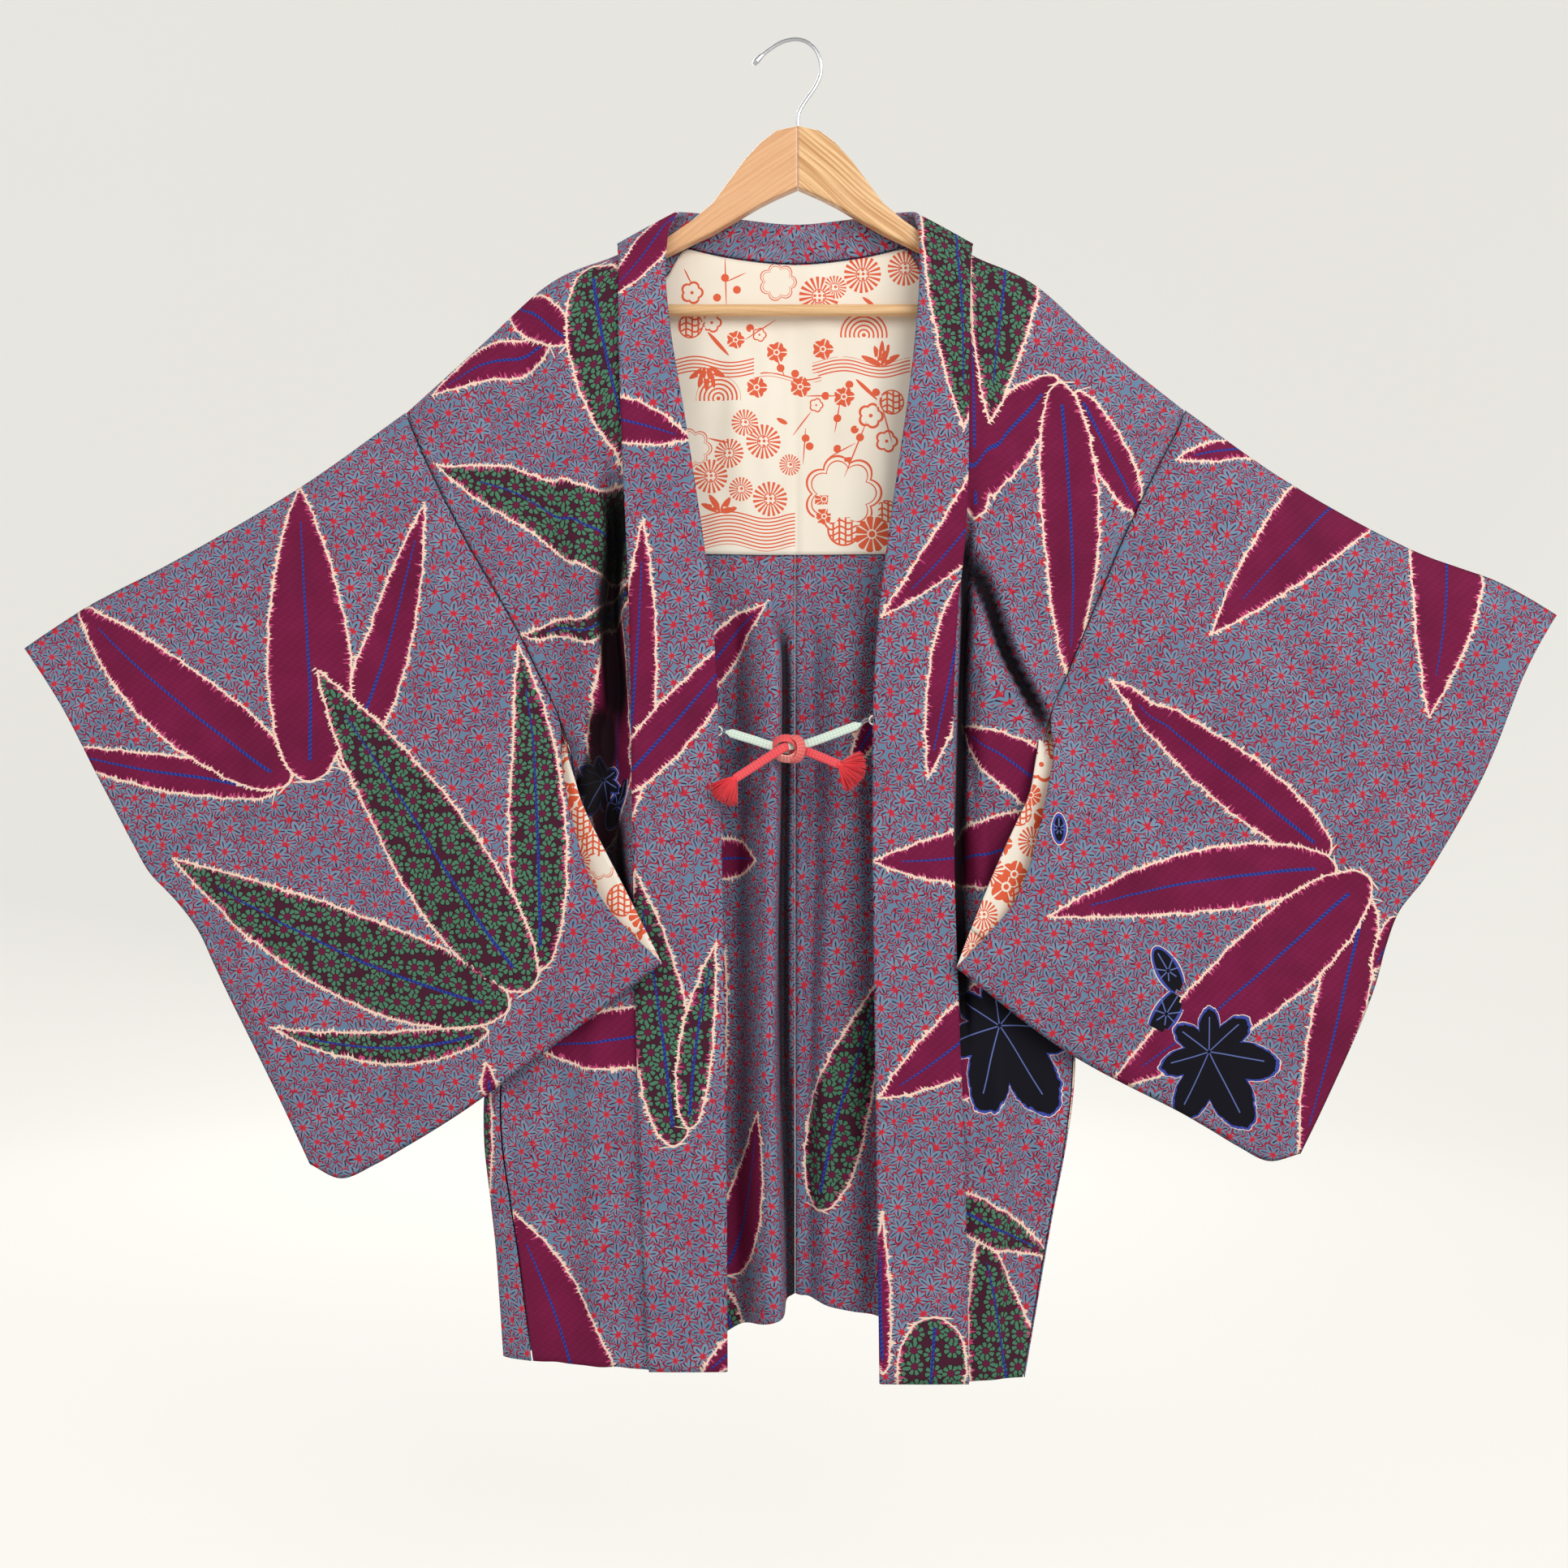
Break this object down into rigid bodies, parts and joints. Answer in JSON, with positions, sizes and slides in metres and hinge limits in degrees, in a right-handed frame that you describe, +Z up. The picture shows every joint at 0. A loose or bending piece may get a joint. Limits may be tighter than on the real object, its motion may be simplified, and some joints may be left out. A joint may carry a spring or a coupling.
{
  "type": "haori jacket on a hanger",
  "caption": "Lined haori jacket with square hanging sleeves, a folded collar band and a tied front cord, hung open on a small wooden hanger with a wire hook.",
  "frame": {"origin": "inner top of the hanger's hook, where a peg carries it", "axes": "+X to the viewer's right along the spread sleeves, +Y from the front to the back, +Z up"},
  "size_m": [1.1492, 0.0622, 1.0031],
  "materials": {
    "shell_cloth": "printed crepe, slate blue maple repeat on wine with large wine and green bamboo leaves",
    "lining_cloth": "smooth cream lining printed in orange red",
    "loop_thread": "grey twisted thread",
    "braid_white": "flat silk braid, pale green white",
    "braid_coral": "flat silk braid, coral",
    "tassel_silk": "loose silk floss, bright red",
    "wood": "clear satin lacquer",
    "steel": "drawn wire, satin"
  },
  "bodies": {
    "root": {"body_left_front": "shell_cloth", "body_left_back": "shell_cloth", "body_right_front": "shell_cloth", "body_right_back": "shell_cloth", "machi_left": "shell_cloth", "machi_right": "shell_cloth", "sleeve_left_front": "shell_cloth", "sleeve_left_back": "shell_cloth", "sleeve_right_front": "shell_cloth", "sleeve_right_back": "shell_cloth", "collar": "shell_cloth", "lining_back": "lining_cloth", "sleeve_lining_left": "lining_cloth", "sleeve_lining_right": "lining_cloth", "chi_left": "loop_thread", "chi_right": "loop_thread", "himo_left": "braid_white", "himo_right": "braid_white", "himo_knot": "braid_coral", "himo_tail_left": "braid_coral", "himo_tail_right": "braid_coral", "tassel_left": "tassel_silk", "tassel_right": "tassel_silk", "hanger_arm_left": "wood", "hanger_arm_right": "wood", "hanger_bar": "wood", "hanger_hook": "steel"}
  },
  "joints": []
}
